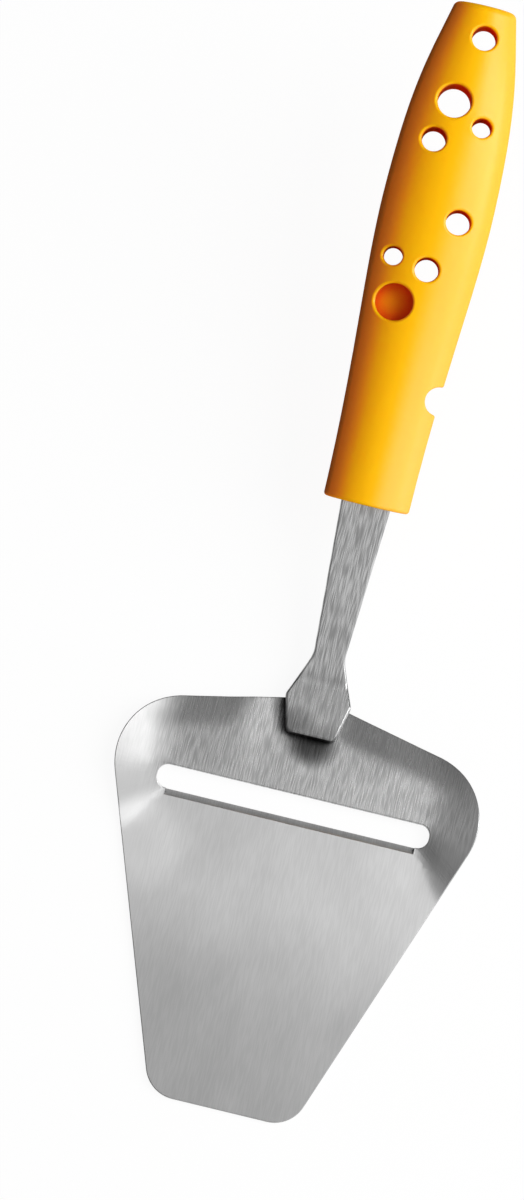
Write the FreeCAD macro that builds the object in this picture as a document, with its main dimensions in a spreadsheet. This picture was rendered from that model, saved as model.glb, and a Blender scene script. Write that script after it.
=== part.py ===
import FreeCAD, Part
import os
from itertools import combinations
from math import hypot, sin, tan

import Sketcher
from FreeCAD import Placement, Rotation, Vector

# Cheese slicer: pressed steel blade, welded steel shank, plastic handle moulded round the tang.
# X runs across, +Y from the blade's tip to the handle's end, +Z up.
# The origin is the middle of the flat sole, the face that lies on the cheese.

# Driving dimensions in millimetres and degrees
SIZES = {
    # Blade
    "blade_width": 77.0,
    "sheet_thickness": 1.2,
    "shoulder_angle": 12.5,
    "heel_width": 12.0,
    "corner_radius": 14.5,
    "side_angle": 20.0,
    "sole_length": 62.0,
    "tip_radius": 7.0,
    "slot_length": 58.0,
    "slot_width": 4.8,
    "slot_setback": 21.0,
    "slice_height": 1.5,
    "step_angle": 32.0,
    "step_radius": 2.4,
    "wing_angle": 40.0,
    "sheet_edge_round": 0.2,
    "edge_land": 0.2,
    "edge_grind": 1.5,
    # Shank
    "bar_thickness": 2.5,
    "handle_angle": 18.0,
    "bend_radius": 8.0,
    "bend_setback": 3.5,
    "paddle_lap": 8.9,
    "paddle_end_width": 10.4,
    "paddle_end_radius": 1.4,
    "paddle_width": 14.0,
    "paddle_straight": 7.8,
    "paddle_radius": 1.0,
    "neck_width": 6.6,
    "neck_setback": 8.2,
    "neck_radius": 6.0,
    "mouth_bar_width": 10.5,
    "shank_reach": 37.85,
    "tang_cover": 2.1,
    "tang_lock_dia": 5.0,
    "bar_edge_round": 0.45,
    # Spot welds
    "weld_dia": 4.0,
    "weld_height": 0.8,
    "weld_spacing": 6.0,
    # Handle
    "handle_length": 105.1,
    "mouth_width": 18.2,
    "mouth_thickness": 13.0,
    "belly_width": 23.35,
    "belly_thickness": 16.0,
    "end_width": 12.8,
    "end_thickness": 9.4,
    "mouth_round": 0.7,
    "end_round": 1.4,
    "rim_round": 0.5,
    "hang_hole_dia": 5.0,
    "large_hole_dia": 6.9,
    "upper_small_hole_dia": 4.0,
    "left_hole_dia": 5.0,
    "right_hole_dia": 5.1,
    "lower_small_hole_dia": 3.9,
    "middle_hole_dia": 5.0,
    "blind_hole_dia": 7.7,
    "blind_floor_cover": 1.0,
    "notch_dia": 6.0,
    "notch_depth": 3.0,
    # How far a cutting shape runs past what it cuts
    "overrun": 2.0,
}

# Stations of the handle: share of its length, share of the swell from mouth to belly
SWELL_SHARES = [(0.0, 0.0), (0.133, 0.096), (0.285, 0.385), (0.436, 0.77), (0.588, 1.0)]
# Stations past the belly: share of the length, share of the belly's swell over the end that is left
FALL_SHARES = [(0.721, 0.921), (0.835, 0.694), (0.92, 0.37), (1.0, 0.0)]

# Holes of the handle: share of its length, share of half the belly's width
HOLE_SHARES = {
    "hang_hole": (0.936, 0.098),
    "large_hole": (0.805, -0.153),
    "upper_small_hole": (0.766, 0.420),
    "left_hole": (0.724, -0.344),
    "right_hole": (0.578, 0.409),
    "lower_small_hole": (0.487, -0.561),
    "middle_hole": (0.475, 0.067),
    "blind_hole": (0.400, -0.356),
}
THROUGH_HOLES = [name for name in HOLE_SHARES if name != "blind_hole"]
# The side notch: share of the length, and of the swell that the handle has there
NOTCH_SHARES = (0.231, 0.25)
# Corner radius of the slot's ends, as a share of its width
SLOT_END_SHARE = 0.46
# Place of the tang's lock hole along the tang
TANG_LOCK_SHARE = 0.42
# Most of the web between two holes that one rim's rounding may take
RIM_WEB_SHARE = 0.4
# How far from a rim's radius an edge may lie and still be its edge
RIM_TOLERANCE_SHARE = 0.01
# Upward part of a unit normal: less than the first on an upright wall, more than the second on a broad face
WALL_TILT_SHARE = 0.01
BROAD_TILT_SHARE = 0.5

doc = FreeCAD.newDocument("cheese_slicer")
sheet = doc.addObject("Spreadsheet::Sheet", "sizes")
for row, (alias, number) in enumerate(SIZES.items(), start=1):
    sheet.set(f"A{row}", alias)
    sheet.set(f"B{row}", str(number))
    sheet.setAlias(f"B{row}", alias)
doc.recompute()


def value(formula):
    """Number that a formula of the sheet's cells gives."""
    return float(sheet.evalExpression(formula))


# Places along Y and Z, as formulas of the cells
TIP_Y = "(-sizes.sole_length / 2)"
EDGE_Y = "(sizes.sole_length / 2)"
SLOT_REAR_Y = f"({EDGE_Y} + sizes.slot_width)"
SLOT_MIDDLE_Y = f"({EDGE_Y} + sizes.slot_width / 2)"
APEX_Y = f"({SLOT_REAR_Y} + sizes.slot_setback)"
PADDLE_END_Y = f"({APEX_Y} - sizes.paddle_lap)"
WELD_Y = f"({APEX_Y} - sizes.paddle_lap / 2)"
BEND_Y = f"({APEX_Y} + sizes.bend_setback)"
LAP_Z = "(sizes.slice_height + sizes.sheet_thickness)"
BAR_MIDDLE_Z = f"({LAP_Z} + sizes.bar_thickness / 2)"
# The tang stops short of the lowest through hole
TANG_DEPTH = (
    f"({HOLE_SHARES['middle_hole'][0]} * sizes.handle_length"
    " - sizes.middle_hole_dia / 2 - sizes.tang_cover)"
)
BAR_REACH = f"(sizes.shank_reach + {TANG_DEPTH})"
# Half the length of the slot's straight edges, where the slanted wings begin
WING_X = "(sizes.slot_length / 2 - sizes.slot_width / 2)"


def along_bar(reach):
    """Formulas of Y and Z on the bar's middle line, a reach beyond the bend."""
    y = f"({BEND_Y} + {reach} * cos(sizes.handle_angle))"
    z = f"({BAR_MIDDLE_Z} + {reach} * sin(sizes.handle_angle))"
    return y, z


def new_sketch(body, name, role, lift="0"):
    """Sketch on one of the body's own planes, lifted along its normal by a formula."""
    sketch = body.newObject("Sketcher::SketchObject", name)
    plane = next(item for item in body.Origin.OriginFeatures if item.Role == role)
    sketch.AttachmentSupport = [(plane, "")]
    sketch.MapMode = "FlatFace"
    sketch.setExpression("AttachmentOffset.Base.z", lift)
    return sketch


def dimension(sketch, name, formula, kind, *where):
    """Named dimension of a sketch, bound to a formula of the sheet's cells."""
    index = sketch.addConstraint(Sketcher.Constraint(kind, *where, value(formula)))
    sketch.renameConstraint(index, name)
    sketch.setExpression(f"Constraints.{name}", formula)


def place_point(sketch, geometry, position, name, x, y):
    """Hold a point of the sketch at two formulas from the sketch's origin."""
    dimension(sketch, f"{name}_x", x, "DistanceX", -1, 1, geometry, position)
    dimension(sketch, f"{name}_y", y, "DistanceY", -1, 1, geometry, position)


def closed_outline(sketch, name, corners):
    """Closed outline through corners (x, y, radius), each a formula; no radius is a sharp corner."""
    points = [Vector(value(x), value(y), 0) for x, y, _ in corners]
    count = len(corners)
    arrivals = list(points)
    departures = list(points)
    arcs = {}
    for index, (_, _, radius) in enumerate(corners):
        if radius is None:
            continue
        corner = points[index]
        back = (points[index - 1] - corner).normalize()
        ahead = (points[(index + 1) % count] - corner).normalize()
        half_angle = back.getAngle(ahead) / 2
        inward = (back + ahead).normalize()
        size = value(radius)
        arrivals[index] = corner + back * (size / tan(half_angle))
        departures[index] = corner + ahead * (size / tan(half_angle))
        crown = corner + inward * (size / sin(half_angle) - size)
        arcs[index] = Part.Arc(arrivals[index], crown, departures[index])
    lines = [
        sketch.addGeometry(Part.LineSegment(departures[index], arrivals[(index + 1) % count]))
        for index in range(count)
    ]
    for index, (x, y, radius) in enumerate(corners):
        incoming = lines[index - 1]
        outgoing = lines[index]
        label = f"{name}_{index + 1}"
        if radius is None:
            sketch.addConstraint(Sketcher.Constraint("Coincident", incoming, 2, outgoing, 1))
            place_point(sketch, outgoing, 1, label, x, y)
            continue
        corner = sketch.addGeometry(Part.Point(points[index]), True)
        place_point(sketch, corner, 1, label, x, y)
        sketch.addConstraint(Sketcher.Constraint("PointOnObject", corner, 1, incoming))
        sketch.addConstraint(Sketcher.Constraint("PointOnObject", corner, 1, outgoing))
        arc = sketch.addGeometry(arcs[index])
        gaps = [sketch.getPoint(arc, end).distanceToPoint(arrivals[index]) for end in (1, 2)]
        near, far = (1, 2) if gaps[0] < gaps[1] else (2, 1)
        sketch.addConstraint(Sketcher.Constraint("Tangent", incoming, 2, arc, near))
        sketch.addConstraint(Sketcher.Constraint("Tangent", arc, far, outgoing, 1))
        dimension(sketch, f"{label}_radius", radius, "Radius", arc)


def circle(sketch, name, x, y, diameter):
    geometry = sketch.addGeometry(
        Part.Circle(Vector(value(x), value(y), 0), Vector(0, 0, 1), value(diameter) / 2)
    )
    place_point(sketch, geometry, 3, name, x, y)
    dimension(sketch, f"{name}_diameter", diameter, "Diameter", geometry)


def pad(body, sketch, name, length):
    """Pad to both sides of the sketch's plane."""
    feature = body.newObject("PartDesign::Pad", name)
    feature.Profile = sketch
    feature.SideType = "Symmetric"
    feature.setExpression("Length", length)
    return feature


def pocket_through(body, sketch, name):
    """Pocket through everything, to both sides of the sketch's plane."""
    feature = body.newObject("PartDesign::Pocket", name)
    feature.Profile = sketch
    feature.SideType = "Symmetric"
    feature.Type = "ThroughAll"
    return feature


def mirrored(body, feature, name):
    """Copy of a feature on the other side of the plane of symmetry."""
    plane = next(item for item in body.Origin.OriginFeatures if item.Role == "YZ_Plane")
    mirror = body.newObject("PartDesign::Mirrored", name)
    mirror.Originals = [feature]
    mirror.MirrorPlane = (plane, [""])
    body.Tip = mirror
    return mirror


def rounded(body, name, edges, radius):
    """Fillet of the named edges of the body's last feature."""
    fillet = body.newObject("PartDesign::Fillet", name)
    fillet.Base = (fillet.BaseFeature, edges)
    fillet.setExpression("Radius", radius)
    doc.recompute()
    return fillet


def broad_edges(shape):
    """Names and edges where a broad face, which looks up or down, meets an upright wall."""
    found = []
    for index, edge in enumerate(shape.Edges, start=1):
        tilts = []
        for face in shape.ancestorsOfType(edge, Part.Face):
            low_u, high_u, low_v, high_v = face.ParameterRange
            tilts.append(abs(face.normalAt((low_u + high_u) / 2, (low_v + high_v) / 2).z))
        if min(tilts) < WALL_TILT_SHARE and max(tilts) > BROAD_TILT_SHARE:
            found.append((f"Edge{index}", edge))
    return found


def weld_recess(body, name, upward):
    """Half of the two spot welds, sunk into a piece from the face where the lap is."""
    sketch = new_sketch(body, f"{name}_plan", "XY_Plane", LAP_Z)
    circle(sketch, "left", "-sizes.weld_spacing / 2", WELD_Y, "sizes.weld_dia")
    circle(sketch, "right", "sizes.weld_spacing / 2", WELD_Y, "sizes.weld_dia")
    feature = body.newObject("PartDesign::Pocket", name)
    feature.Profile = sketch
    feature.Reversed = upward
    feature.setExpression("Length", "sizes.weld_height / 2")
    return feature


def sheet_profile(body, name, lift):
    """Side view of the pressed sheet: low sole in front, slanted step, rear plate."""
    sketch = new_sketch(body, name, "YZ_Plane", lift)
    front = f"({TIP_Y} - sizes.overrun)"
    rear = f"({APEX_Y} + sizes.blade_width / 2)"
    half_run = "(sizes.slice_height / 2 / tan(sizes.step_angle))"
    shift = "(sizes.sheet_thickness / 2 * tan(sizes.step_angle / 2))"
    inner = "sizes.step_radius"
    outer = "(sizes.step_radius + sizes.sheet_thickness)"
    closed_outline(sketch, "profile", [
        (front, "0", None),
        (f"({SLOT_MIDDLE_Y} - {half_run} + {shift})", "0", outer),
        (f"({SLOT_MIDDLE_Y} + {half_run} + {shift})", "sizes.slice_height", inner),
        (rear, "sizes.slice_height", None),
        (rear, LAP_Z, None),
        (f"({SLOT_MIDDLE_Y} + {half_run} - {shift})", LAP_Z, outer),
        (f"({SLOT_MIDDLE_Y} - {half_run} - {shift})", "sizes.sheet_thickness", inner),
        (front, "sizes.sheet_thickness", None),
    ])
    return sketch


def blade_outline(sketch):
    """Shield outline inside a frame, so that a pocket leaves the shield.

    The shoulders aim at one point behind the paddle; the heel cuts them off straight under it.
    """
    centre_x = "(sizes.blade_width / 2 - sizes.corner_radius)"
    centre_y = (
        f"({APEX_Y} - {centre_x} * tan(sizes.shoulder_angle)"
        " - sizes.corner_radius / cos(sizes.shoulder_angle))"
    )
    half_turn = "((90 - sizes.shoulder_angle + sizes.side_angle) / 2)"
    bisector = "((90 - sizes.shoulder_angle - sizes.side_angle) / 2)"
    corner_x = f"({centre_x} + sizes.corner_radius * cos({bisector}) / cos({half_turn}))"
    corner_y = f"({centre_y} + sizes.corner_radius * sin({bisector}) / cos({half_turn}))"
    tip_x = (
        f"({centre_x} + (sizes.corner_radius + ({TIP_Y} - {centre_y}) * sin(sizes.side_angle))"
        " / cos(sizes.side_angle))"
    )
    heel_y = f"({APEX_Y} - sizes.heel_width / 2 * tan(sizes.shoulder_angle))"
    closed_outline(sketch, "shield", [
        ("sizes.heel_width / 2", heel_y, None),
        ("-sizes.heel_width / 2", heel_y, None),
        (f"-{corner_x}", corner_y, "sizes.corner_radius"),
        (f"-{tip_x}", TIP_Y, "sizes.tip_radius"),
        (tip_x, TIP_Y, "sizes.tip_radius"),
        (corner_x, corner_y, "sizes.corner_radius"),
    ])
    frame_x = "(sizes.blade_width + sizes.overrun)"
    frame_front = f"({TIP_Y} - sizes.blade_width)"
    frame_rear = f"({APEX_Y} + sizes.blade_width)"
    closed_outline(sketch, "frame", [
        (f"-{frame_x}", frame_front, None),
        (frame_x, frame_front, None),
        (frame_x, frame_rear, None),
        (f"-{frame_x}", frame_rear, None),
    ])


def make_blade():
    """Pressed sheet: the step runs across at the slot and slants forward in the wings beside it."""
    body = doc.addObject("PartDesign::Body", "blade")
    middle = sheet_profile(body, "middle_profile", "0")
    pad(body, middle, "middle_sheet", f"2 * {WING_X}")
    wing = body.newObject("PartDesign::Pad", "wing_sheet")
    wing.Profile = sheet_profile(body, "wing_profile", WING_X)
    wing.UseCustomVector = True
    wing.Direction = Vector(1, -tan(value("sizes.wing_angle * pi / 180")), 0)
    wing.AlongSketchNormal = True
    wing.setExpression("Length", f"sizes.blade_width / 2 - {WING_X} + sizes.overrun")
    doc.recompute()
    mirrored(body, wing, "other_wing_sheet")

    outline = new_sketch(body, "outline_plan", "XY_Plane")
    blade_outline(outline)
    pocket_through(body, outline, "outline_trim")

    slot = new_sketch(body, "slot_plan", "XY_Plane")
    end_radius = f"{SLOT_END_SHARE} * sizes.slot_width"
    closed_outline(slot, "slot", [
        ("-sizes.slot_length / 2", EDGE_Y, end_radius),
        ("sizes.slot_length / 2", EDGE_Y, end_radius),
        ("sizes.slot_length / 2", SLOT_REAR_Y, end_radius),
        ("-sizes.slot_length / 2", SLOT_REAR_Y, end_radius),
    ])
    pocket_through(body, slot, "slot")
    doc.recompute()
    cutting_y = value(EDGE_Y)
    nearest = RIM_TOLERANCE_SHARE * value("sizes.slot_width")
    blunt = [
        name
        for name, edge in broad_edges(body.Shape)
        if abs(edge.BoundBox.YMin - cutting_y) + abs(edge.BoundBox.YMax - cutting_y) > nearest
    ]
    rounded(body, "sheet_edges", blunt, "sizes.sheet_edge_round")

    grind = new_sketch(body, "edge_profile", "YZ_Plane")
    top = "sizes.sheet_thickness"
    closed_outline(grind, "grind", [
        (f"{EDGE_Y} - sizes.edge_grind", top, None),
        (EDGE_Y, "sizes.edge_land", None),
        (EDGE_Y, top, None),
    ])
    edge = body.newObject("PartDesign::Pocket", "cutting_edge")
    edge.Profile = grind
    edge.SideType = "Symmetric"
    edge.setExpression("Length", f"2 * {WING_X}")
    weld_recess(body, "weld_recess", upward=False)
    doc.recompute()
    return body


def make_shank():
    """Flat bar: paddle on the blade, neck, bend, widening bar and the tang inside the handle."""
    bar = doc.addObject("PartDesign::Body", "shank_bar")
    end_y, end_z = along_bar(BAR_REACH)
    half = "(sizes.bar_thickness / 2)"
    shift = f"({half} * tan(sizes.handle_angle / 2))"
    side = new_sketch(bar, "bar_profile", "YZ_Plane")
    closed_outline(side, "bar", [
        (PADDLE_END_Y, LAP_Z, None),
        (f"({BEND_Y} + {shift})", LAP_Z, "(sizes.bend_radius + sizes.bar_thickness)"),
        (f"({end_y} + {half} * sin(sizes.handle_angle))",
         f"({end_z} - {half} * cos(sizes.handle_angle))", None),
        (f"({end_y} - {half} * sin(sizes.handle_angle))",
         f"({end_z} + {half} * cos(sizes.handle_angle))", None),
        (f"({BEND_Y} - {shift})", f"({LAP_Z} + sizes.bar_thickness)", "sizes.bend_radius"),
        (PADDLE_END_Y, f"({LAP_Z} + sizes.bar_thickness)", None),
    ])
    pad(bar, side, "bar", "sizes.paddle_width + 2 * sizes.overrun")

    mouth_y, _ = along_bar("sizes.shank_reach")
    outside = "(sizes.paddle_width / 2 + 2 * sizes.overrun)"
    beyond = f"({end_y} + sizes.bar_thickness + sizes.overrun)"
    before = f"({PADDLE_END_Y} - sizes.overrun)"
    corner_x = "(sizes.paddle_end_width / 2 - sizes.paddle_end_radius)"
    plan = new_sketch(bar, "side_plan", "XY_Plane")
    closed_outline(plan, "side", [
        (corner_x, before, None),
        (corner_x, PADDLE_END_Y, None),
        ("sizes.paddle_end_width / 2", PADDLE_END_Y, "sizes.paddle_end_radius"),
        ("sizes.paddle_width / 2", f"({PADDLE_END_Y} + sizes.paddle_straight)", "sizes.paddle_radius"),
        ("sizes.neck_width / 2", f"({APEX_Y} + sizes.neck_setback)", "sizes.neck_radius"),
        ("sizes.mouth_bar_width / 2", mouth_y, None),
        ("sizes.mouth_bar_width / 2", beyond, None),
        (outside, beyond, None),
        (outside, before, None),
    ])
    cut = pocket_through(bar, plan, "side_trim")
    doc.recompute()
    mirrored(bar, cut, "other_side_trim")
    doc.recompute()

    rounded(bar, "bar_edges", [name for name, _ in broad_edges(bar.Shape)], "sizes.bar_edge_round")
    weld_recess(bar, "weld_recess_above", upward=True)
    doc.recompute()

    lock = doc.addObject("Part::Cylinder", "tang_lock_hole")
    lock.setExpression("Radius", "sizes.tang_lock_dia / 2")
    lock.setExpression("Height", "sizes.bar_thickness + 2 * sizes.overrun")
    lock_y, lock_z = along_bar(f"(sizes.shank_reach + {TANG_LOCK_SHARE} * {TANG_DEPTH})")
    drop = "(sizes.bar_thickness / 2 + sizes.overrun)"
    lock.Placement.Rotation = Rotation(Vector(1, 0, 0), value("sizes.handle_angle"))
    lock.setExpression("Placement.Base.y", f"{lock_y} + {drop} * sin(sizes.handle_angle)")
    lock.setExpression("Placement.Base.z", f"{lock_z} - {drop} * cos(sizes.handle_angle)")

    shank = doc.addObject("Part::Cut", "shank")
    shank.Base = bar
    shank.Tool = lock
    doc.recompute()
    return shank


def make_welds():
    """Two spot welds, each half in the blade and half in the paddle."""
    nuggets = []
    for name, side in (("left_weld", -1), ("right_weld", 1)):
        nugget = doc.addObject("Part::Cylinder", name)
        nugget.setExpression("Radius", "sizes.weld_dia / 2")
        nugget.setExpression("Height", "sizes.weld_height")
        nugget.setExpression("Placement.Base.x", f"{side} * sizes.weld_spacing / 2")
        nugget.setExpression("Placement.Base.y", WELD_Y)
        nugget.setExpression("Placement.Base.z", f"{LAP_Z} - sizes.weld_height / 2")
        nuggets.append(nugget)
    group = doc.addObject("Part::Compound", "weld_nuggets")
    group.Links = nuggets
    doc.recompute()
    return group


def handle_section(body, index, along_share, width, thickness):
    """Oval cross section of the handle at a share of its length."""
    sketch = new_sketch(body, f"section_{index}", "XZ_Plane", f"-{along_share} * sizes.handle_length")
    oval = sketch.addGeometry(
        Part.Ellipse(Vector(value(width) / 2, 0, 0), Vector(0, value(thickness) / 2, 0), Vector(0, 0, 0))
    )
    sketch.exposeInternalGeometry(oval)
    major = oval + 1
    minor = oval + 2
    sketch.addConstraint(Sketcher.Constraint("Coincident", oval, 3, -1, 1))
    sketch.addConstraint(Sketcher.Constraint("Horizontal", major))
    dimension(sketch, "width", width, "Distance", major)
    dimension(sketch, "thickness", thickness, "Distance", minor)
    return sketch


def between(low, high, share):
    """Formula of a size that has gone a share of the way from one cell to another."""
    return f"(sizes.{low} + {share} * (sizes.{high} - sizes.{low}))"


def hole_place(name):
    """Formulas of a hole's centre across and along the handle."""
    along_share, across_share = HOLE_SHARES[name]
    return f"{across_share} * sizes.belly_width / 2", f"{along_share} * sizes.handle_length"


def rim_radius():
    """Rounding of the holes' rims, limited by the narrowest web between two holes."""
    rims = []
    for name in HOLE_SHARES:
        x, y = hole_place(name)
        rims.append((value(x), value(y), value(f"sizes.{name}_dia / 2")))
    webs = [hypot(a[0] - b[0], a[1] - b[1]) - a[2] - b[2] for a, b in combinations(rims, 2)]
    return min(value("sizes.rim_round"), RIM_WEB_SHARE * min(webs))


def rim_edges(shape, x, y, radius, above):
    """Names of the edges that run round an upright hole higher than a height."""
    tolerance = RIM_TOLERANCE_SHARE * radius
    names = []
    for index, edge in enumerate(shape.Edges, start=1):
        box = edge.BoundBox
        upright = box.XLength + box.YLength < tolerance
        samples = edge.discretize(5)
        off = max(abs(hypot(point.x - x, point.y - y) - radius) for point in samples)
        if not upright and off < tolerance and box.ZMin > above + tolerance:
            names.append(f"Edge{index}")
    return names


def make_handle(shank):
    """Oval moulding along its own Y axis, set on the inclined bar and cut by the tang."""
    body = doc.addObject("PartDesign::Body", "handle_moulding")
    sections = []
    for along_share, share in SWELL_SHARES:
        width = between("mouth_width", "belly_width", share)
        thickness = between("mouth_thickness", "belly_thickness", share)
        sections.append(handle_section(body, len(sections) + 1, along_share, width, thickness))
    for along_share, share in FALL_SHARES:
        width = between("end_width", "belly_width", share)
        thickness = between("end_thickness", "belly_thickness", share)
        sections.append(handle_section(body, len(sections) + 1, along_share, width, thickness))
    loft = body.newObject("PartDesign::AdditiveLoft", "oval_form")
    loft.Profile = sections[0]
    loft.Sections = sections[1:]
    doc.recompute()

    holes = new_sketch(body, "hole_plan", "XY_Plane")
    for name in THROUGH_HOLES:
        x, y = hole_place(name)
        circle(holes, name, x, y, f"sizes.{name}_dia")
    pocket_through(body, holes, "through_holes")

    floor = "(sizes.bar_thickness / 2 + sizes.blind_floor_cover)"
    blind_plan = new_sketch(body, "blind_plan", "XY_Plane", floor)
    blind_x, blind_y = hole_place("blind_hole")
    circle(blind_plan, "blind_hole", blind_x, blind_y, "sizes.blind_hole_dia")
    blind = body.newObject("PartDesign::Pocket", "blind_hole")
    blind.Profile = blind_plan
    blind.Reversed = True
    blind.setExpression("Length", "sizes.belly_thickness")

    notch_share, notch_swell_share = NOTCH_SHARES
    notch_wall = between("mouth_width", "belly_width", notch_swell_share)
    notch_x = f"({notch_wall} / 2 - sizes.notch_depth + sizes.notch_dia / 2)"
    notch_y = f"{notch_share} * sizes.handle_length"
    notch_plan = new_sketch(body, "notch_plan", "XY_Plane")
    circle(notch_plan, "notch", notch_x, notch_y, "sizes.notch_dia")
    pocket_through(body, notch_plan, "side_notch")
    doc.recompute()

    rim = str(rim_radius())
    lowest = -value("sizes.belly_thickness")
    for name in HOLE_SHARES:
        x, y = hole_place(name)
        above = value(floor) if name == "blind_hole" else lowest
        edges = rim_edges(body.Shape, value(x), value(y), value(f"sizes.{name}_dia / 2"), above)
        rounded(body, f"{name}_rim", edges, rim)
    edges = rim_edges(body.Shape, value(notch_x), value(notch_y), value("sizes.notch_dia / 2"), lowest)
    rounded(body, "notch_rim", edges, rim)
    for name, place, radius in (
        ("mouth_rim", 0.0, "sizes.mouth_round"),
        ("end_rim", value("sizes.handle_length"), "sizes.end_round"),
    ):
        edges = [
            f"Edge{index}"
            for index, edge in enumerate(body.Shape.Edges, start=1)
            if max(abs(edge.BoundBox.YMin - place), abs(edge.BoundBox.YMax - place))
            < RIM_TOLERANCE_SHARE * value(radius)
        ]
        rounded(body, name, edges, radius)

    mouth_y, mouth_z = along_bar("sizes.shank_reach")
    body.Placement = Placement(
        Vector(0, value(mouth_y), value(mouth_z)),
        Rotation(Vector(1, 0, 0), value("sizes.handle_angle")),
    )
    handle = doc.addObject("Part::Cut", "handle")
    handle.Base = body
    handle.Tool = shank
    doc.recompute()
    return handle


def write_parts(nodes):
    """Check every object of the document, then write one file for each sub-part."""
    doc.recompute()
    for item in doc.Objects:
        if "Invalid" in item.State or "Error" in item.State:
            raise RuntimeError(f"{item.Label} failed: {item.State}")
    for node in nodes:
        if node.Shape.isNull() or not node.Shape.isValid():
            raise RuntimeError(f"{node.Label} has no valid shape")
    os.makedirs("parts", exist_ok=True)
    for node in nodes:
        node.Shape.exportStep(f"parts/{node.Label}.step")
        box = node.Shape.BoundBox
        print(node.Label, len(node.Shape.Solids), round(node.Shape.Volume, 2), box)


blade = make_blade()
shank = make_shank()
welds = make_welds()
handle = make_handle(shank)
write_parts([blade, shank, welds, handle])
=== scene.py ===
from math import cos, pi, radians, sin, sqrt, tan

import bmesh
import bpy
from mathutils import Matrix, Vector


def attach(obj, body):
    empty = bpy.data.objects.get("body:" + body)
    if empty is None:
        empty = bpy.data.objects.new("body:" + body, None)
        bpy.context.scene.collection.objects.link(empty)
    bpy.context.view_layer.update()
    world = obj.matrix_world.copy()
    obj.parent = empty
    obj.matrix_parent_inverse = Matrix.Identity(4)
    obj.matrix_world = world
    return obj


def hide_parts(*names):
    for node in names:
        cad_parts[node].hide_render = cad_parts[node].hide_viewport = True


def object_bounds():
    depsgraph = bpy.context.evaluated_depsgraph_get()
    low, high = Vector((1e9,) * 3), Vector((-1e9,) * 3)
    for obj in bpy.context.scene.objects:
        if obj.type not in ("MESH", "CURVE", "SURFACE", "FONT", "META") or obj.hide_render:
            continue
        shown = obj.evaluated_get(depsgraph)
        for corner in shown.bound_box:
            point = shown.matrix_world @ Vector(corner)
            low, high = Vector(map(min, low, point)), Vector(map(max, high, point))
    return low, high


# Looks of a cheese slicer: brushed steel blade and shank, amber plastic handle.
# Lengths are metres in the part's own frame: +X across, +Y from tip to handle, +Z up.

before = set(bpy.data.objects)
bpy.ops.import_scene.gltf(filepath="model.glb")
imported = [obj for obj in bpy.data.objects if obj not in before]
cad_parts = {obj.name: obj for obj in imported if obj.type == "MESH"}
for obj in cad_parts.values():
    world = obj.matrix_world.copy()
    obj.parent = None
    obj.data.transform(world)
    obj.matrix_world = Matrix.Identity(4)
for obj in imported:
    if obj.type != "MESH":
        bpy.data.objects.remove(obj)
CAD_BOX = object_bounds()
MM = 0.001

# Photograph's frame, its camera and the point where the camera's axis meets the picture, in pixels
PHOTO_WIDTH = 524
PHOTO_HEIGHT = 1200
FOCAL_PIXELS = 3244
AXIS_PIXEL = (338.4, 618.4)
CAMERA_PLACE = Vector((0, -0.0865, 0.66565))
CAMERA_LEAN = radians(13.64)
CAMERA_ROLL = radians(13.6)
SENSOR = 36
CLIP_START = 0.01

# Blade in millimetres, as its solid has it: a step at the slot that slants forward in the wings
SHEET = 1.2
SLICE_HEIGHT = 1.5
STEP_MIDDLE_Y = 33.4
STEP_ANGLE = radians(32)
STEP_RADIUS = 2.4
WING_X = 26.6
WING_SLANT = tan(radians(40))
APEX_Y = 56.8
SHOULDER_ANGLE = radians(12.5)
# Soft forms of its pressing, in millimetres: half the step's width at the slot and its growth outwards
# in front of the step and behind it, how far out in a wing the step gets its long tail, the bend where
# a wing starts to turn up and where it is straight, and the wing's slope
BLEND_HALF = 2.6
BLEND_GROWTH = (0.8, 1.9)
TAIL_REACH = 6
WING_BEND = (26.2, 33.0)
WING_SLOPE = 0.19
# Curled margin along the shoulders, in millimetres: its straight and whole depths, its slope, how much
# steeper it is on the right and where that changes, where it starts right and left of the paddle, and
# where it runs out
MARGIN_DEPTHS = (4.5, 8.5)
MARGIN_SLOPE = 0.08
MARGIN_LEAN = 0.04
LEAN_CHANGE_X = (-10, 10)
MARGIN_RIGHT_X = (0, 8)
MARGIN_LEFT_X = (12, 19)
MARGIN_END_X = (24, 38)
# Grid that lets the sheet bend, in millimetres: its spacing and its reach along X and Y
GRID = 1.0
GRID_X = (-38, 38)
GRID_Y = (-30, 56)
SPLIT_TOLERANCE = 1e-7
SHARP_ANGLE = radians(35)
NORMAL_WEIGHT = 90

# In the materials a ramp is given as the two limits of a value and what it becomes at each of them
NOISE_LIMITS = (0.3, 0.7)
BUMP_HEIGHT = 0.00004
OCCLUSION_SAMPLES = 8

# Brushed steel: grains per metre along X, Y and Z, and the shares of scratches and lines in the brushing
SCRATCH_GRAINS = (4600, 300, 300)
LINE_GRAINS = (1300, 60, 60)
LINE_ROUGHNESS = 0.6
CLOUD_GRAINS = (90, 60, 60)
SCRATCH_SHARE = 0.8
LINE_SHARE = 0.2
# Strength of the brushing on the left wing, the right wing and the sole, whose last value is the piece's own
LEFT_FADE = (-0.033, -0.024, 0.15, 1.0)
RIGHT_FADE = (0.025, 0.033, 1.0, 0.8)
SOLE_FADE = (0.029, 0.036, 0.15)
# What brushing and clouds do to the brightness, the roughness and the height
BRUSHED_GAIN = 0.55
CLOUD_LIMITS = (0.25, 0.75)
CLOUD_SHARES = (0.95, 1.05)
STEEL_ROUGHNESS = 0.31
BRUSHED_ROUGHNESS = -0.1
STEEL_BUMP = 0.12
ANISOTROPY = 0.75
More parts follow.
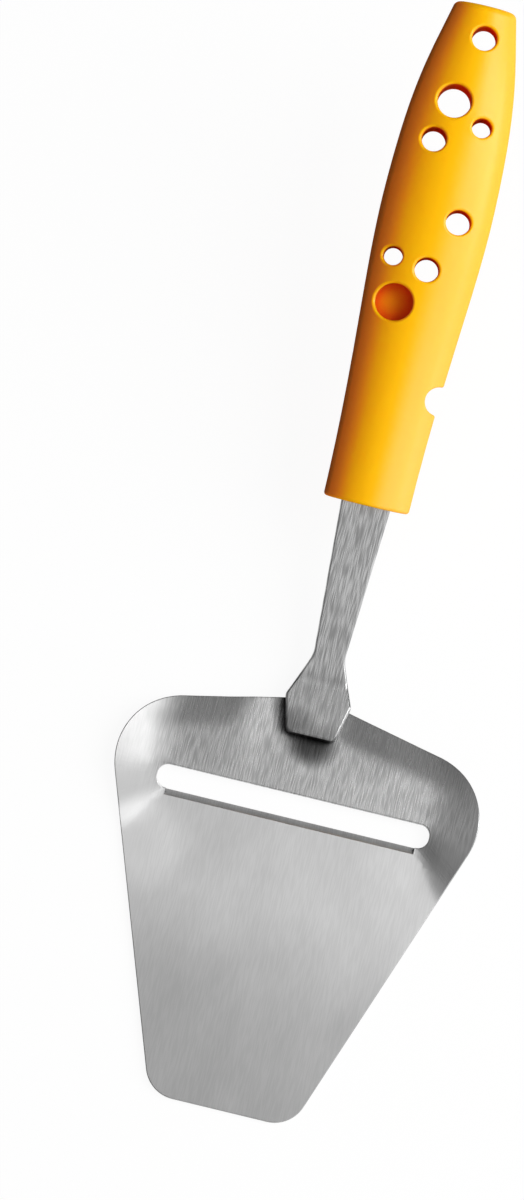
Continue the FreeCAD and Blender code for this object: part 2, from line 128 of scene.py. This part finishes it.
# Upper side by the normal's Z, and the painted shadow beside what stands on the steel, by how open a point is
# towards the light
UPPER_SIDE = (0.0, 0.5)
LIGHTWARDS = (0.45, 0.35, 0.82)
CONTACT_PAINTED_SHADOW = (0.4, 0.84, -0.96, 0.0)
BLADE_SHADOW_REACH = 0.0038

# Brightness of the steel pieces, and how strongly the shank is brushed
BLADE_LEVEL = 0.454
SHANK_LEVEL = 0.485
SHANK_SCRATCHED = 1.05
WELD_LEVEL = 0.45
# Tones along Y, painted light and shade: the sole is brighter towards the cutting edge, and the paddle darker
# than the bar
SOLE_PAINTED_LIGHT = ((-0.012, 0.014, 1.0, 1.28), (0.03, 0.034, 1.0, 0.78))
# the shank's tones paint shade on the paddle and at the bend, and light on the bar near the handle
SHANK_PAINTED_LIGHT_AND_SHADE = ((0.0483, 0.052, 0.68, 1.03), (0.0594, 0.0632, 0.75, 1.0), (0.085, 0.1, 1.0, 1.1))
# Patches of painted light and shade on the blade, which stand in for its reflections and shadows
PAINTED_BLADE_LIGHT_AND_SHADE = (
    (-0.036, 0.029, 0.011, 0.010, 0.31),  # left wing
    (-0.011, 0.051, 0.0055, 0.009, 0.26),  # left of the paddle
    (-0.0305, 0.047, 0.006, 0.006, -0.15),  # left shoulder
    (0.0136, 0.046, 0.006, 0.006, -0.12),  # right of the paddle
    (-0.029, 0.018, 0.012, 0.012, 0.25),  # left of the sole
    (0.0008, 0.0462, 0.0068, 0.0052, -0.86),  # shade in front of the paddle's end
    (-0.0186, 0.0412, 0.009, 0.006, -0.11),  # behind the slot's left half
)
# Patches of painted shade on the shank: a shadow left of the paddle's end and a darker line across the bend
SHANK_PAINTED_SHADE_PATCHES = (
    (-0.0036, 0.0508, 0.005, 0.0034, -0.35),  # left of the paddle's end
    (0.0, 0.0601, 0.03, 0.0014, -0.09),  # line across the bend
)

# Amber plastic: grains per metre along X, Y and Z, and how far the clouds shift its colour
PLASTIC_CLOUDS = (70, 45, 70)
PLASTIC_CLOUD_DETAIL = 3.0
PLASTIC_GRAIN = (2600, 2600, 2600)
CLOUD_SHIFT = (-0.01, 0.01)
# Painted light and shade: the handle's colour turns red brown on its left flank and pale amber on its right
# flank
# Handle's colour from its left flank over the top to its right flank, by half its normal's X plus a half
AMBER_WITH_PAINTED_LIGHT_AND_SHADE = (
    (0.0, (0.41, 0.12, 0.02)), (0.05, (0.53, 0.15, 0.02)), (0.105, (0.86, 0.21, 0.02)),
    (0.185, (0.93, 0.24, 0.02)), (0.25, (1.0, 0.3, 0.012)), (0.32, (1.0, 0.405, 0.005)),
    (0.42, (1.0, 0.475, 0.003)), (0.5, (0.99, 0.505, 0.003)), (0.62, (0.97, 0.485, 0.003)),
    (0.7, (0.97, 0.455, 0.003)), (0.85, (0.96, 0.45, 0.006)),
)
# Painted shade deep in the holes: its colour on walls that face left and right, and how a place counts as
# deep
HOLE_PAINTED_SHADE_LEFT = (0.95, 0.065, 0.01, 1)
HOLE_PAINTED_SHADE_RIGHT = (0.66, 0.11, 0.003, 1)
DEEP_TURN = (-0.6, 0.6)
DEEP_REACH = 0.01
DEEP_LIMITS = (0.3, 0.8)
PLASTIC_ROUGHNESS = (0.34, 0.42)
PLASTIC_BUMP = 0.06
GLOW_SHARE = 0.2
GLOW_DEPTH = 0.0015
GLOW_REACH = (1.0, 0.3, 0.05)
# Painted sheen: gloss by the normal's X, on the top and on the right flank, and its growth along Y towards
# the mouth
TOP_PAINTED_SHEEN = (0.0, 0.32, 0.003, 0.04)
FLANK_PAINTED_SHEEN = (0.5, 0.8, 0.0, 0.035)
MOUTH_PAINTED_SHEEN = (0.1, 0.17, 1.7, 1.0)

# Floor: its size, its colour to the camera and to the light that it throws back, and its share of white
FLOOR_SIZE = 6
FLOOR_SEEN = 0.95
FLOOR_UNSEEN = (0.55, 0.34, 0.24, 1)
FLOOR_WHITE_SHARE = 0.92
# Surroundings: brightness from left to right by a direction's X, and towards the rear by its Y
SIDE_LIGHT = (-0.45, 0.25, 0.22, 1.0)
REAR_LIGHT = (0.14, 0.4, 1.0, 0.2)
# Lamps: place, point that they are turned to, width, length and brightness
KEY = ((0.72, 0.2, 0.62), (0, 0.2, 0.02), 0.6, 1.0, 4.8)
STRIP = ((0.69, 0.25, 0.595), (0, 0.25, 0.02), 0.27, 0.96, 4.8)


class Tree:
    """Short words for building a node tree."""

    def __init__(self, tree):
        self.tree = tree
        tree.nodes.clear()

    def add(self, kind, inputs=(), **settings):
        """New node; an input that is a socket is linked, any other is set."""
        node = self.tree.nodes.new(kind)
        for name, setting in settings.items():
            setattr(node, name, setting)
        for key, source in dict(inputs).items():
            if isinstance(source, bpy.types.NodeSocket):
                self.tree.links.new(source, node.inputs[key])
            else:
                node.inputs[key].default_value = source
        return node

    def maths(self, operation, *values):
        return self.add("ShaderNodeMath", enumerate(values), operation=operation).outputs[0]

    def product(self, first, second):
        return self.maths("MULTIPLY", first, second)

    def ramp(self, value, low, high, to_low=0.0, to_high=1.0):
        """Smooth change of a value from one pair of limits to another."""
        node = self.add("ShaderNodeMapRange", {
            "Value": value, "From Min": low, "From Max": high, "To Min": to_low, "To Max": to_high,
        }, interpolation_type="SMOOTHSTEP")
        return node.outputs["Result"]

    def noise(self, vector, stretch, detail=2.0, roughness=0.5):
        """Noise whose grains are stretched by different amounts along X, Y and Z."""
        grains = self.add("ShaderNodeMapping", {"Vector": vector, "Scale": stretch})
        node = self.add("ShaderNodeTexNoise", {
            "Vector": grains.outputs[0], "Scale": 1.0, "Detail": detail, "Roughness": roughness,
        })
        return node.outputs["Fac"]

    def stops(self, value, *stops):
        """Colour that follows a value through given stops, each a place from 0 to 1 and a colour."""
        node = self.add("ShaderNodeValToRGB", {"Fac": value})
        band = node.color_ramp.elements
        while len(band) < len(stops):
            band.new(1.0)
        for element, (place, colour) in zip(band, stops):
            element.position = place
            element.color = (*colour, 1)
        return node.outputs["Color"]

    def mix(self, share, first, second):
        """Mix of two colours."""
        return self.add("ShaderNodeMix", {0: share, 6: first, 7: second}, data_type="RGBA").outputs[2]

    def place(self):
        """Place of a point on its piece."""
        return self.add("ShaderNodeTexCoord").outputs["Object"]

    def facing(self):
        """Parts of the surface's normal on its piece."""
        normal = self.add("ShaderNodeTexCoord").outputs["Normal"]
        return self.parts(normal)

    def parts(self, vector):
        """X, Y and Z of a vector."""
        return self.add("ShaderNodeSeparateXYZ", {"Vector": vector}).outputs

    def vector(self, x, y, z):
        return self.add("ShaderNodeCombineXYZ", {"X": x, "Y": y, "Z": z}).outputs[0]

    def openness(self, inputs):
        """How open a point is to the air around it, from 0 to 1."""
        return self.add("ShaderNodeAmbientOcclusion", inputs, samples=OCCLUSION_SAMPLES).outputs["AO"]


def new_material(name):
    material = bpy.data.materials.new(name)
    material.use_nodes = True
    return material, Tree(material.node_tree)


def grey(level):
    return (level, level, level, 1)


def brushing(tree, place, where, scratched):
    """Short fine scratches along Y, above and below zero, fainter on the sole and the left wing."""
    wings = tree.product(tree.ramp(where["X"], *LEFT_FADE), tree.ramp(where["X"], *RIGHT_FADE))
    keen = tree.product(wings, tree.ramp(where["Y"], *SOLE_FADE, scratched))
    scratches = tree.noise(place, SCRATCH_GRAINS, detail=0.0)
    lines = tree.noise(place, LINE_GRAINS, roughness=LINE_ROUGHNESS)
    grain = tree.maths("ADD", tree.product(scratches, SCRATCH_SHARE), tree.product(lines, LINE_SHARE))
    return tree.product(tree.maths("SUBTRACT", tree.ramp(grain, *NOISE_LIMITS), 0.5), keen)


def patch_gain(tree, where, patch):
    """Share by which a patch is brighter at a place."""
    middle_x, middle_y, reach_x, reach_y, gain = patch
    off_x = tree.maths("DIVIDE", tree.maths("SUBTRACT", where["X"], middle_x), reach_x)
    off_y = tree.maths("DIVIDE", tree.maths("SUBTRACT", where["Y"], middle_y), reach_y)
    off = tree.maths("ADD", tree.product(off_x, off_x), tree.product(off_y, off_y))
    return tree.ramp(off, 0.0, 1.0, gain, 0.0)


def brushed_steel(name, level, scratched=1.0, tones=(), patches=(), contact=None):
    """Steel brushed along the tool's length, with broad, faint clouds.

    Tones and patches paint light and shade into the steel's colour. A tone changes the brightness from one
    share to another between two places along Y, which slant forward in the wings as the step does. A patch
    has the X and Y of its middle, its reach along each, and the share by which it is brighter there. A
    contact paints a shadow beside what stands on it, on the side away from the light. Patches and contact
    are on the upper side only.
    """
    material, tree = new_material(name)
    place = tree.place()
    where = tree.parts(place)
    contrast = brushing(tree, place, where, scratched)
    bright = tree.maths("MULTIPLY_ADD", contrast, BRUSHED_GAIN, 1.0)
    beyond = tree.maths("SUBTRACT", tree.maths("ABSOLUTE", where["X"]), WING_X * MM)
    along = tree.maths("MULTIPLY_ADD", tree.maths("MAXIMUM", beyond, 0.0), WING_SLANT, where["Y"])
    # tones of painted light and shade along Y
    for tone in tones:
        bright = tree.product(bright, tree.ramp(along, *tone))
    # patches of painted light and shade
    gains = [patch_gain(tree, where, patch) for patch in patches]
    # painted shadow beside what stands on the steel, on the side away from the light
    if contact:
        open_air = tree.openness({"Distance": contact, "Normal": tree.vector(*LIGHTWARDS)})
        gains.append(tree.ramp(open_air, *CONTACT_PAINTED_SHADOW))
    upper = tree.ramp(tree.facing()["Z"], *UPPER_SIDE)
    for gain in gains:
        bright = tree.product(bright, tree.maths("MULTIPLY_ADD", gain, upper, 1.0))
    clouds = tree.noise(place, CLOUD_GRAINS)
    levels = [level * share for share in CLOUD_SHARES]
    clouded = tree.product(bright, tree.ramp(clouds, *CLOUD_LIMITS, *levels))
    colour = tree.add("ShaderNodeCombineColor", {0: clouded, 1: clouded, 2: clouded}).outputs[0]
    rough = tree.maths("MULTIPLY_ADD", contrast, BRUSHED_ROUGHNESS, STEEL_ROUGHNESS)
    bump = tree.add("ShaderNodeBump", {"Height": contrast, "Strength": STEEL_BUMP, "Distance": BUMP_HEIGHT})
    shader = tree.add("ShaderNodeBsdfPrincipled", {
        "Base Color": colour, "Metallic": 1.0, "Roughness": rough, "Anisotropic": ANISOTROPY,
        "Normal": bump.outputs[0], "Tangent": tree.vector(1.0, 0.0, 0.0),
    })
    tree.add("ShaderNodeOutputMaterial", {"Surface": shader.outputs[0]})
    return material


def amber_plastic(name):
    """Satin moulded plastic, slightly translucent, with a fine moulding grain.

    Light and shade are painted into its colour: red brown on the left flank, pale amber on the right, and
    deep red in the holes; its gloss is painted stronger on the right flank and towards the mouth.
    """
    material, tree = new_material(name)
    place = tree.place()
    facing = tree.facing()
    clouds = tree.noise(place, PLASTIC_CLOUDS, detail=PLASTIC_CLOUD_DETAIL)
    grain = tree.noise(place, PLASTIC_GRAIN)
    # painted shade on the left flank and painted light on the right flank, by the normal's X
    turned = tree.maths("MULTIPLY_ADD", facing["X"], 0.5, 0.5)
    body = tree.stops(tree.maths("ADD", turned, tree.ramp(clouds, *NOISE_LIMITS, *CLOUD_SHIFT)), *AMBER_WITH_PAINTED_LIGHT_AND_SHADE)
    # painted shade deep in the holes, by how open a point is
    open_air = tree.openness({"Distance": DEEP_REACH})
    deep = tree.mix(tree.ramp(facing["X"], *DEEP_TURN), HOLE_PAINTED_SHADE_LEFT, HOLE_PAINTED_SHADE_RIGHT)
    colour = tree.mix(tree.ramp(open_air, *DEEP_LIMITS), deep, body)
    rough = tree.ramp(grain, *NOISE_LIMITS, *PLASTIC_ROUGHNESS)
    bump = tree.add("ShaderNodeBump", {"Height": grain, "Strength": PLASTIC_BUMP, "Distance": BUMP_HEIGHT})
    plastic = tree.add("ShaderNodeBsdfPrincipled", {
        "Base Color": colour, "Roughness": rough, "Normal": bump.outputs[0], "Specular IOR Level": 0.0,
        "Subsurface Weight": GLOW_SHARE, "Subsurface Scale": GLOW_DEPTH, "Subsurface Radius": GLOW_REACH,
    })
    sheen = tree.add("ShaderNodeBsdfAnisotropic", {
        "Color": grey(1.0), "Roughness": rough, "Normal": bump.outputs[0],
    })
    # painted sheen, stronger on the right flank and towards the mouth, weaker in the holes
    gloss = tree.maths("ADD", tree.ramp(facing["X"], *TOP_PAINTED_SHEEN), tree.ramp(facing["X"], *FLANK_PAINTED_SHEEN))
    gloss = tree.product(gloss, tree.ramp(tree.parts(place)["Y"], *MOUTH_PAINTED_SHEEN))
    gloss = tree.product(gloss, open_air)
    shader = tree.add("ShaderNodeMixShader", {0: gloss, 1: plastic.outputs[0], 2: sheen.outputs[0]})
    tree.add("ShaderNodeOutputMaterial", {"Surface": shader.outputs[0]})
    return material


def paint(node, material):
    """Give a solid of the frame its material."""
    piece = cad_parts[node]
    piece.material_slots[0].material = material


def clamped(value, low, high):
    """Share of the way from one limit to another, from 0 to 1."""
    return min(max((value - low) / (high - low), 0.0), 1.0)


def smooth(value, low, high):
    """Smooth rise from 0 to 1 between two limits."""
    share = clamped(value, low, high)
    return share * share * (3 - 2 * share)


def bent(place, low_corner, high_corner, low_radius, high_radius):
    """Height of a level line that rises by the slice height at the step's angle, both corners rounded."""
    low_reach = low_radius * tan(STEP_ANGLE / 2)
    high_reach = high_radius * tan(STEP_ANGLE / 2)
    if place <= low_corner - low_reach:
        return 0.0
    if place < low_corner + low_reach * cos(STEP_ANGLE):
        run = place - low_corner + low_reach
        return low_radius - sqrt(low_radius ** 2 - run ** 2)
    if place < high_corner - high_reach * cos(STEP_ANGLE):
        return (place - low_corner) * tan(STEP_ANGLE)
    if place < high_corner + high_reach:
        run = high_corner + high_reach - place
        return SLICE_HEIGHT - high_radius + sqrt(high_radius ** 2 - run ** 2)
    return SLICE_HEIGHT


def depth_share(place, z):
    """Share of the solid sheet's thickness under a point, at a place before or behind the step's middle."""
    half_run = SLICE_HEIGHT / 2 / tan(STEP_ANGLE)
    shift = SHEET / 2 * tan(STEP_ANGLE / 2)
    wide = STEP_RADIUS + SHEET
    under = bent(place, shift - half_run, shift + half_run, wide, STEP_RADIUS)
    over = SHEET + bent(place, -shift - half_run, half_run - shift, STEP_RADIUS, wide)
    return (z - under) / (over - under)


def raised_share(place, beyond):
    """Share of the step's rise at a place, which is even at the slot and has a long tail in the wings."""
    start = -BLEND_HALF - BLEND_GROWTH[0] * beyond
    end = BLEND_HALF + BLEND_GROWTH[1] * beyond
    rise = clamped(place, start, end)
    even = rise ** 3 * (rise * (6 * rise - 15) + 10)
    tailed = rise ** 3 * (35 + rise * (-105 + rise * (126 + rise * (15 * rise - 70))))
    return even + (tailed - even) * smooth(beyond, 0, TAIL_REACH)


def wing_lift(x):
    """Height by which a wing is turned up."""
    turn = WING_BEND[1] - WING_BEND[0]
    out = max(abs(x) - WING_BEND[0], 0.0)
    return WING_SLOPE * (out * out / (2 * turn) if out < turn else out - turn / 2)


def margin_curl(x, y):
    """Depth by which the margin along a shoulder is curled down."""
    inside = (APEX_Y - abs(x) * tan(SHOULDER_ANGLE) - y) * cos(SHOULDER_ANGLE)
    straight, whole = MARGIN_DEPTHS
    fade = clamped(inside, straight, whole)
    curl = max(straight - inside, 0.0) + (whole - straight) * (0.5 - fade + fade ** 3 - fade ** 4 / 2)
    curl *= MARGIN_SLOPE + MARGIN_LEAN * smooth(x, *LEAN_CHANGE_X)
    curl *= smooth(x, *MARGIN_RIGHT_X) + smooth(-x, *MARGIN_LEFT_X)
    return curl * (1 - smooth(abs(x), *MARGIN_END_X))


def pressed(x, y, z):
    """New height of a point of the solid blade after its soft pressing, all in millimetres."""
    beyond = max(abs(x) - WING_X, 0.0)
    place = y - STEP_MIDDLE_Y + beyond * WING_SLANT
    raised = (SLICE_HEIGHT + wing_lift(x)) * raised_share(place, beyond)
    return raised - margin_curl(x, y) + SHEET * depth_share(place, z)


def pressed_blade(material):
    """Blade with the soft forms of its pressing, which stands for the solid blade."""
    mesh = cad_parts["blade"].data.copy()
    mesh.name = "pressed_blade"
    shape = bmesh.new()
    shape.from_mesh(mesh)
    for axis, (low, high) in ((Vector((1, 0, 0)), GRID_X), (Vector((0, 1, 0)), GRID_Y)):
        place = low
        while place < high:
            bmesh.ops.bisect_plane(
                shape, geom=shape.verts[:] + shape.edges[:] + shape.faces[:],
                plane_co=axis * place * MM, plane_no=axis, dist=SPLIT_TOLERANCE,
            )
            place += GRID
    for vertex in shape.verts:
        vertex.co.z = pressed(*(vertex.co / MM)) * MM
    shape.to_mesh(mesh)
    shape.free()
    if "custom_normal" in mesh.attributes:
        mesh.attributes.remove(mesh.attributes["custom_normal"])
    mesh.shade_smooth()
    mesh.set_sharp_from_angle(angle=SHARP_ANGLE)
    mesh.materials.clear()
    mesh.materials.append(material)
    blade = bpy.data.objects.new("pressed_blade", mesh)
    bpy.context.scene.collection.objects.link(blade)
    weighted = blade.modifiers.new("weighted", "WEIGHTED_NORMAL")
    weighted.keep_sharp = True
    weighted.weight = NORMAL_WEIGHT
    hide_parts("blade")
    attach(blade, "root")


def make_stage():
    """Pale floor under the part that fades to white and keeps the shadow."""
    bpy.ops.mesh.primitive_plane_add(size=FLOOR_SIZE, location=(0, 0, CAD_BOX[0].z))
    floor = bpy.context.object
    floor.name = "floor"
    material, tree = new_material("pale_floor")
    rays = tree.add("ShaderNodeLightPath").outputs
    seen = tree.maths("MAXIMUM", rays["Is Camera Ray"], rays["Is Glossy Ray"])
    seen = tree.maths("MAXIMUM", seen, rays["Is Transmission Ray"])
    lit = tree.add("ShaderNodeBsdfDiffuse", {"Color": tree.mix(seen, FLOOR_UNSEEN, grey(FLOOR_SEEN))})
    white = tree.add("ShaderNodeEmission", {"Color": grey(1.0), "Strength": 1.0})
    mixed = tree.add("ShaderNodeMixShader", {
        0: tree.product(seen, FLOOR_WHITE_SHARE), 1: lit.outputs[0], 2: white.outputs[0],
    })
    tree.add("ShaderNodeOutputMaterial", {"Surface": mixed.outputs[0]})
    floor.data.materials.append(material)


def make_world():
    """Studio surroundings: dark on the left and at the rear, paler on the right."""
    world = bpy.data.worlds.new("studio")
    bpy.context.scene.world = world
    world.use_nodes = True
    tree = Tree(world.node_tree)
    direction = tree.parts(tree.add("ShaderNodeTexCoord").outputs["Generated"])
    level = tree.product(tree.ramp(direction["X"], *SIDE_LIGHT), tree.ramp(direction["Y"], *REAR_LIGHT))
    background = tree.add("ShaderNodeBackground", {"Color": grey(1.0), "Strength": level})
    tree.add("ShaderNodeOutputWorld", {"Surface": background.outputs[0]})


def softbox(name, place, aim, width, length, radiance):
    """Rectangular soft light at a place, turned to a point, of a given brightness."""
    lamp = bpy.data.lights.new(name, "AREA")
    lamp.shape = "RECTANGLE"
    lamp.size = width
    lamp.size_y = length
    lamp.energy = radiance * pi * width * length
    holder = bpy.data.objects.new(name, lamp)
    bpy.context.scene.collection.objects.link(holder)
    holder.location = place
    holder.rotation_euler = (Vector(aim) - Vector(place)).to_track_quat("-Z", "Y").to_euler()
    return holder


def make_lamps():
    """Broad key from the right; reflections show only a narrow strip, so steel stays grey from most sides."""
    key = softbox("key", *KEY)
    key.visible_glossy = False
    strip = softbox("strip", *STRIP)
    strip.visible_diffuse = False


def make_camera():
    """Camera at the photograph's viewing angle, with its lean, roll and framing."""
    data = bpy.data.cameras.new("camera")
    data.sensor_width = SENSOR
    data.lens = SENSOR * FOCAL_PIXELS / PHOTO_HEIGHT
    data.shift_x = (PHOTO_WIDTH / 2 - AXIS_PIXEL[0]) / PHOTO_HEIGHT
    data.shift_y = (AXIS_PIXEL[1] - PHOTO_HEIGHT / 2) / PHOTO_HEIGHT
    data.clip_start = CLIP_START
    camera = bpy.data.objects.new("camera", data)
    back = Vector((0, -sin(CAMERA_LEAN), cos(CAMERA_LEAN)))
    upright = Vector((0, cos(CAMERA_LEAN), sin(CAMERA_LEAN)))
    across = Vector((1, 0, 0))
    right = across * cos(CAMERA_ROLL) + upright * sin(CAMERA_ROLL)
    up = upright * cos(CAMERA_ROLL) - across * sin(CAMERA_ROLL)
    turn = Matrix((right, up, back)).transposed()
    camera.matrix_world = Matrix.Translation(CAMERA_PLACE) @ turn.to_4x4()
    bpy.context.scene.collection.objects.link(camera)
    bpy.context.scene.camera = camera


blade_steel = brushed_steel(
    "blade_brushed", BLADE_LEVEL, tones=SOLE_PAINTED_LIGHT, patches=PAINTED_BLADE_LIGHT_AND_SHADE, contact=BLADE_SHADOW_REACH,
)
pressed_blade(blade_steel)
paint("shank", brushed_steel("shank_brushed", SHANK_LEVEL, SHANK_SCRATCHED, SHANK_PAINTED_LIGHT_AND_SHADE, SHANK_PAINTED_SHADE_PATCHES))
paint("weld_nuggets", brushed_steel("weld_fused", WELD_LEVEL))
paint("handle", amber_plastic("amber_plastic"))

make_stage()
make_world()
make_lamps()
make_camera()
bpy.context.scene.view_settings.view_transform = "Standard"
